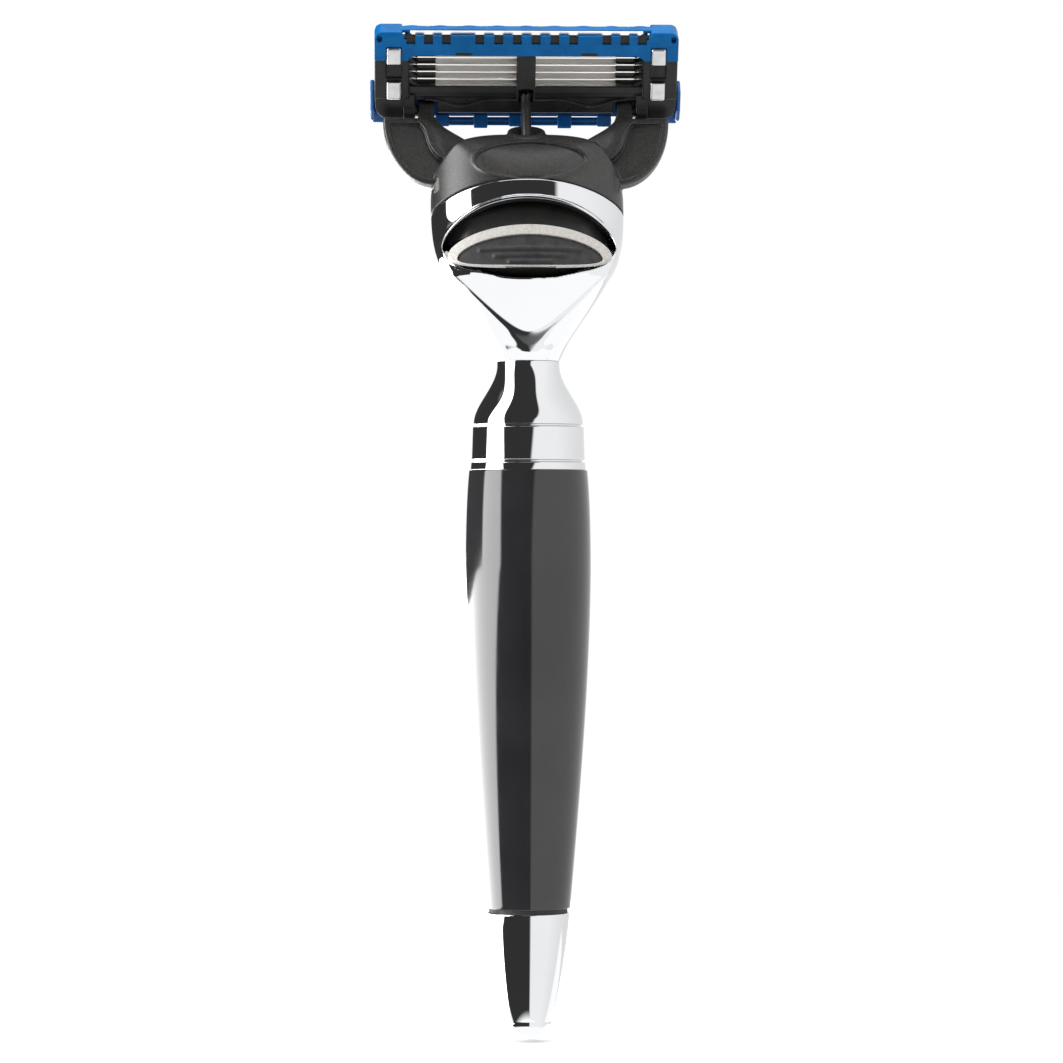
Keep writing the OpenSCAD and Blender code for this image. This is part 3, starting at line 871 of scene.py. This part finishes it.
carve(
    "cartridge_housing", frame_field, (-20.9, -1.8, -2.1), (20.9, 2.1, 12.3), 0.12, CARTRIDGE,
    frame_black, "cartridge", "cartridge_frame",
)


# Where the carrier's upper edge is notched, on either side of the middle
NOTCHES = (1.28, 3.84, 6.4, 10.95, 13.4, 15.8)


def carrier_field(x, w, v):
    """The blue cover: a notched band over the back and a roof with a wavy edge."""
    side = np.abs(x)
    dip = np.clip((side - 15.2) / 1.2, 0, 1)
    low = 8.9 - 0.72 * dip * dip * (3 - 2 * dip)
    band = both(box(x, w, v, (-HALF_W, -2, 7.5), (HALF_W, -1.62, 11.88), 0.12), low - v, 0.12)
    scallop = 0.09 * np.cos(2 * math.pi * x / 3.9)
    crest = 12.38 - 0.45 * np.maximum(w - 0.35, 0) ** 1.5 + scallop * (w > 0.2)
    roof = box(x, w, v, (-HALF_W, -0.95, 11.9), (HALF_W, 1.6, 12.4), 0.1)
    roof = both(roof, v - crest, 0.1)
    roof = both(roof, w - 1.15 - scallop, 0.15)
    tooth_bar = box(x, w, v, (-16.3, -1.05, 11.76), (16.3, -0.5, 11.95), 0.05)
    roof = either(roof, tooth_bar, 0.05)
    ends = box(side, w, v, (16.95, -2, 10.25), (HALF_W, 1.5, 12.35), 0.3)
    crown = [
        (-1, 5), (HALF_W, 5), (HALF_W, 11.4), (20.5, 12.0), (19.9, 12.38), (17, 12.6), (-1, 12.6),
    ]
    solid = both(either(either(band, roof, 0.1), ends, 0.1), polygon(side, v, crown), 0.1)
    for place in NOTCHES:
        notch = box(side, w, v, (place - 0.6, -3, 10.6), (place + 0.6, -1.4, 13.5), 0.08)
        solid = without(solid, notch, 0.06)
    solid = without(solid, box(side, w, v, (15.6, -3, 11.25), (16.7, -1.3, 13), 0.1), 0.06)
    window = box(side, w, v, (7.45, -3, 8.6), (9.75, -1.5, 9.35), 0.2)
    leg = box(side, w, v, (CLIP_NEAR, -3, 7.6), (CLIP_FAR, -1.5, 10.16), 0.05)
    eye = both(oval(side - 20.1, v - 11.35, 0.36, 0.48), w + 1.3)
    return without(without(without(solid, window, 0.08), leg, 0.06), eye, 0.06)


carve(
    "trimmer_cover", carrier_field, (-20.9, -2.1, 8.3), (20.9, 1.9, 13.1), 0.1, CARTRIDGE,
    blue, "cartridge", "trimmer_carrier",
)


def clip_field(x, w, v):
    """A metal band round the frame, with its two ends folded over the back."""
    centre = np.abs(x) - (CLIP_NEAR + CLIP_FAR) / 2
    outer = box(centre, w, v, (-1, -2.3, 2.5), (1, 3.2, 10.1), 0.3)
    inner = box(centre, w, v, (-3, -2.02, 2.75), (3, 2.95, 9.85), 0.25)
    band = without(outer, inner, 0.05)
    return without(band, box(centre, w, v, (-3, -3, 5.1), (3, -1.9, 7.75), 0.12), 0.08)


for side, node in ((-1, "clip_left"), (1, "clip_right")):
    low, high = sorted((side * CLIP_NEAR, side * CLIP_FAR))
    carve(
        node + "_band", clip_field, (low, -2.4, 2.4), (high, 3.3, 10.2), 0.09, CARTRIDGE,
        clip_metal, "cartridge", node,
    )


def comb_field(x, w, v):
    """The guard's comb: a tray, an apron and a rail on posts, and the bulges at the sides."""
    side = np.abs(x)
    tray = box(x, w, v, (-HALF_W - 0.1, 1.93, -1.6), (HALF_W + 0.1, 2.3, 2.75), 0.1)
    slot = box(side, w, v, (CLIP_NEAR, 1, 2.4), (CLIP_FAR, 3, 3), 0.05)
    tray = without(tray, slot)
    apron = box(x, w, v, (-12, 0.95, -1.0), (12, 2.1, -0.3), 0.12)
    rail = box(x, w, v, (-12, 0.95, -2.6), (12, 1.65, -1.5), 0.18)
    groove = box(x, w, v, (-12.5, 0.5, -2.2), (12.5, 1.06, -1.9), 0.05)
    rail = without(rail, groove, 0.08)
    solid = either(either(tray, apron, 0.1), rail)
    for place in (-11.4, -6.1, -1.2, 5.5, 11.0):
        foot = 0.25 if abs(place) in (6.1, 5.5) else 0.0
        post = box(x, w, v, (place - 0.95, 0.82, -2.68 - foot), (place + 0.95, 1.7, -0.9), 0.12)
        solid = either(solid, post, 0.06)
    outline = [
        (-1.2, 3.4), (-1.2, 0.5), (-0.4, -1.2), (0.8, -1.8), (2.3, -1.6), (2.3, 3.6), (1, 4.2),
    ]
    cheek = both(polygon(w, v, outline), layer(side, HALF_W - 0.05, HALF_W + 0.55), 0.35)
    toe = box(side, w, v, (17.2, 1.5, -2.5), (HALF_W + 0.3, 2.3, -0.5), 0.35)
    return either(either(solid, cheek, 0.1), toe, 0.1)


carve(
    "guard_comb", comb_field, (-21.4, -1.3, -3.0), (21.4, 2.4, 4.3), 0.1, CARTRIDGE,
    guard_blue, "cartridge", "comb_guard",
)


def strip_outline():
    """The lubricating strip's section, with a crowned face."""
    face = curve((3.0, 9.7), (3.1, 10.2), (2.9, 11.3), (2.15, 11.75), 16)
    return [(1.95, 11.8), (1.95, 9.45), (2.85, 9.45)] + face


def fin_outline():
    """A back plate and a row of pointed fins, as one closed section."""
    outline = [(2.32, 2.62), (2.32, -1.3), (2.48, -1.3)]
    for i in range(13):
        v = -1.2 + 0.3 * i
        outline += [(2.5, v), (2.84, v + 0.04), (2.84, v + 0.09), (2.5, v + 0.17)]
    return outline + [(2.48, 2.62)]


for name, outline, half, material, slot, node in (
    ("glide_strip", strip_outline(), 16.2, strip_polymer, "strip_polymer", "lubricating_strip"),
    ("guard_fin_row", fin_outline(), 15.5, fin_rubber, "fin_rubber", "guard_fins"),
):
    points, faces = extruded(outline[::-1], -half, half)
    sharp_piece(new_piece(name, points, faces, CARTRIDGE, material, "cartridge", node))

# ---------------------------------------------------------------- blades

RISE = math.radians(24)
DOWN = np.array([math.sin(RISE), -math.cos(RISE)])


def cut_boxes(piece, boxes):
    """Cuts boxes, given by their corners in the cartridge's frame, out of a piece."""
    points, faces = [], []
    for low, high in boxes:
        section = [(low[1], low[2]), (high[1], low[2]), (high[1], high[2]), (low[1], high[2])]
        more, sides = extruded(section, low[0], high[0], len(points))
        points += more
        faces += sides
    mesh = bpy.data.meshes.new("cutter")
    mesh.from_pydata([CARTRIDGE @ Vector(p) for p in points], [], faces)
    cutter = bpy.data.objects.new("cutter", mesh)
    bpy.context.scene.collection.objects.link(cutter)
    modifier = piece.modifiers.new("cut", "BOOLEAN")
    modifier.object = cutter
    modifier.operation = "DIFFERENCE"
    modifier.solver = "EXACT"
    bpy.context.view_layer.objects.active = piece
    bpy.ops.object.modifier_apply(modifier="cut")
    bpy.data.objects.remove(cutter)


def support_outline(v):
    """The bent strip that carries an edge: a leg into the frame and a sloping shelf."""
    foot_w = -0.4
    half = 0.08
    bend = np.array([2.06, v])
    shelf = bend + 0.95 * DOWN
    normal = np.array([-DOWN[1], DOWN[0]]) * half
    outer = [(foot_w, v + half), tuple(bend + (0.1, half)), tuple(shelf + normal)]
    inner = [tuple(shelf - normal), tuple(bend + (-0.06, -half)), (foot_w, v - half)]
    return rounded(outer, 0.2) + rounded(inner, 0.12)


def edge_outline(v):
    """The ground strip on the shelf, down to its keen edge."""
    root = np.array([2.22, v + 0.07])
    lift = np.array([0.09, 0.04])
    tip = root + 1.12 * DOWN
    bevel = root + 0.72 * DOWN + lift
    return [tuple(point) for point in (root, root + lift, bevel, tip, root + 0.8 * DOWN)]


# Further from the middle than each x, a support's leg is cut back to this w
SUPPORT_CUTS = ((12.3, -0.22), (16.0, 1.9))

for n in range(1, BLADES + 1):
    v = BLADE_V0 + BLADE_PITCH * (n - 1)
    body = f"blade_unit_{n}"
    points, faces = extruded(support_outline(v), -BLADE_HALF, BLADE_HALF)
    support = new_piece(
        f"support_{n}", points, faces, CARTRIDGE, blade_steel, body,
        f"blade_support_{n}",
    )
    for near, deep in SUPPORT_CUTS:
        left = ((-20, -1, v - 0.4), (-near, deep, v + 0.4))
        right = ((near, -1, v - 0.4), (20, deep, v + 0.4))
        cut_boxes(support, [left, right])
    sharp_piece(support)
    points, faces = extruded(edge_outline(v)[::-1], -BLADE_HALF, BLADE_HALF)
    edge = new_piece(
        f"edge_{n}", points, faces, CARTRIDGE, blade_steel, body, f"blade_{n}"
    )
    sharp_piece(edge, 8)


TRIMMER = [(-1.3, 10.2), (-1.12, 10.2), (-1.12, 12.0), (-1.27, 12.38), (-1.3, 12.38)]

points, faces = extruded(TRIMMER, -15.9, 15.9)
trimmer = new_piece(
    "trimmer_edge", points, faces, CARTRIDGE, blade_steel, "cartridge",
    "trimmer_blade",
)
sharp_piece(trimmer, 8)

# ---------------------------------------------------------------- stage

FLOOR_R = 0.24
FLOOR_Z = cad_box[0][2] - 0.0004


def stage_floor():
    """A pale round of paper just under the object."""
    paper = surface(
        "floor_paper", ((0.80, 0.80, 0.80), (0.82, 0.82, 0.82)), (0.6, 0.7), (900, 0.01, EVEN),
        mottle=40,
    )
    points = [(0, 0, FLOOR_Z)]
    sides = 96
    for i in range(sides):
        t = 2 * math.pi * i / sides
        points.append((FLOOR_R * math.cos(t), FLOOR_R * math.sin(t), FLOOR_Z))
    mesh = bpy.data.meshes.new("floor")
    mesh.from_pydata(points, [], [[0, i + 1, (i + 1) % sides + 1] for i in range(sides)])
    mesh.materials.append(paper)
    floor = bpy.data.objects.new("floor", mesh)
    bpy.context.scene.collection.objects.link(floor)
    floor.visible_glossy = False


def studio_light():
    """A white room for the eye, and for the metal a dark one with lit panels.

    Angles are in degrees from the camera's side towards +X. A bright wall stands on the right,
    a narrow strip light on the left, and there are white panels below, behind and overhead.
    """
    world = bpy.data.worlds.new("studio")
    bpy.context.scene.world = world
    world.use_nodes = True
    tree = world.node_tree
    tree.nodes.clear()

    def calc(operation, first, second):
        math_node = node_of(tree, "ShaderNodeMath", operation=operation)
        for value, socket in zip((first, second), math_node.inputs):
            if isinstance(value, float):
                socket.default_value = value
            else:
                tree.links.new(value, socket)
        return math_node.outputs["Value"]

    def times(first, second):
        return calc("MULTIPLY", first, second)

    def plus(first, second):
        return calc("ADD", first, second)

    def most(first, second):
        return calc("MAXIMUM", first, second)

    def step(value, start, end):
        return range_of(tree, value, start, end)

    place = node_of(tree, "ShaderNodeTexCoord")
    split = node_of(tree, "ShaderNodeSeparateXYZ")
    tree.links.new(place.outputs["Generated"], split.inputs["Vector"])
    across, depth, height = (split.outputs[name] for name in "XYZ")
    angle = times(calc("ARCTAN2", across, times(depth, -1.0)), 180 / math.pi)
    up = most(height, 0.0)
    down = most(times(height, -1.0), 0.0)

    # The wall on the right: brightest beside the object, and it starts further round higher up
    wall_from = plus(times(up, 32.0), 1.5)
    wall_level = plus(times(step(angle, 185, 60), 0.05), 0.095)
    wall = times(step(calc("SUBTRACT", angle, wall_from), 0, 5), wall_level)

    # The strip on the left: it widens where it is seen low or high in the metal
    sideways = most(calc("ABSOLUTE", across, 0.0), 0.05)
    far_side = step(plus(angle, times(calc("DIVIDE", down, sideways), 900.0)), -98, -94)
    near_side = step(plus(angle, plus(times(up, 12.0), times(down, 120.0))), -52, -56)
    strip = times(times(far_side, near_side), step(height, 0.90, 0.84))

    # The white panels overhead, behind and below
    over = times(step(height, 0.94, 0.955), step(across, -0.2, -0.18))
    behind = times(step(height, 0.66, 0.80), step(depth, 0.05, 0.3))
    floor_edge = plus(times(step(depth, -0.1, 0.35), -0.37), 0.56)
    below = step(plus(height, floor_edge), 0.03, -0.03)
    panels = times(most(most(over, behind), below), 0.165)

    sharp = node_of(tree, "ShaderNodeBackground", Strength=9.0)
    tree.links.new(most(most(most(wall, strip), 0.005), panels), sharp.inputs["Color"])
    soft = node_of(tree, "ShaderNodeBackground", Strength=1.0)
    glow = plus(times(across, 0.24), plus(times(height, 0.3), 0.55))
    tree.links.new(glow, soft.inputs["Color"])
    seen = node_of(tree, "ShaderNodeBackground", Color=(1, 1, 1, 1), Strength=1.0)
    path = node_of(tree, "ShaderNodeLightPath")
    room = node_of(tree, "ShaderNodeMixShader")
    mixed = node_of(tree, "ShaderNodeMixShader")
    out = node_of(tree, "ShaderNodeOutputWorld")
    tree.links.new(path.outputs["Is Diffuse Ray"], room.inputs["Fac"])
    tree.links.new(sharp.outputs["Background"], room.inputs[1])
    tree.links.new(soft.outputs["Background"], room.inputs[2])
    tree.links.new(path.outputs["Is Camera Ray"], mixed.inputs["Fac"])
    tree.links.new(room.outputs["Shader"], mixed.inputs[1])
    tree.links.new(seen.outputs["Background"], mixed.inputs[2])
    tree.links.new(mixed.outputs["Shader"], out.inputs["Surface"])


def add_lamp(name, place, target, size, power):
    """A square lamp of a size in metres, left out of the metal's reflections."""
    data = bpy.data.lights.new(name, "AREA")
    data.shape = "RECTANGLE"
    data.size = data.size_y = size
    data.energy = power
    lamp = bpy.data.objects.new(name, data)
    bpy.context.scene.collection.objects.link(lamp)
    lamp.location = place
    lamp.rotation_euler = (Vector(target) - Vector(place)).to_track_quat("-Z", "Y").to_euler()
    lamp.visible_glossy = False


def add_camera():
    """Square on to the handle, from the thumb's side, two degrees to the left."""
    distance = 0.62
    view_width = 143.65 * MM
    off_axis = 0.43 * MM
    middle_z = -0.02297
    azimuth = math.radians(-2)
    data = bpy.data.cameras.new("camera")
    data.sensor_width = 36
    data.lens = data.sensor_width * distance / view_width
    camera = bpy.data.objects.new("camera", data)
    bpy.context.scene.collection.objects.link(camera)
    right = Vector((math.cos(azimuth), math.sin(azimuth), 0))
    back = Vector((math.sin(azimuth), -math.cos(azimuth), 0))
    camera.location = back * distance + right * off_axis + Vector((0, 0, middle_z))
    camera.rotation_euler = (math.pi / 2, 0, azimuth)
    bpy.context.scene.camera = camera


stage_floor()
studio_light()
add_lamp("top", (0, -0.05, 0.6), (0, 0, 0), 0.6, 5.0)
add_lamp("key", (0.3, -0.45, 0.3), (0, 0, 0.02), 0.12, 1.2)
add_camera()
bpy.context.scene.view_settings.view_transform = "Standard"
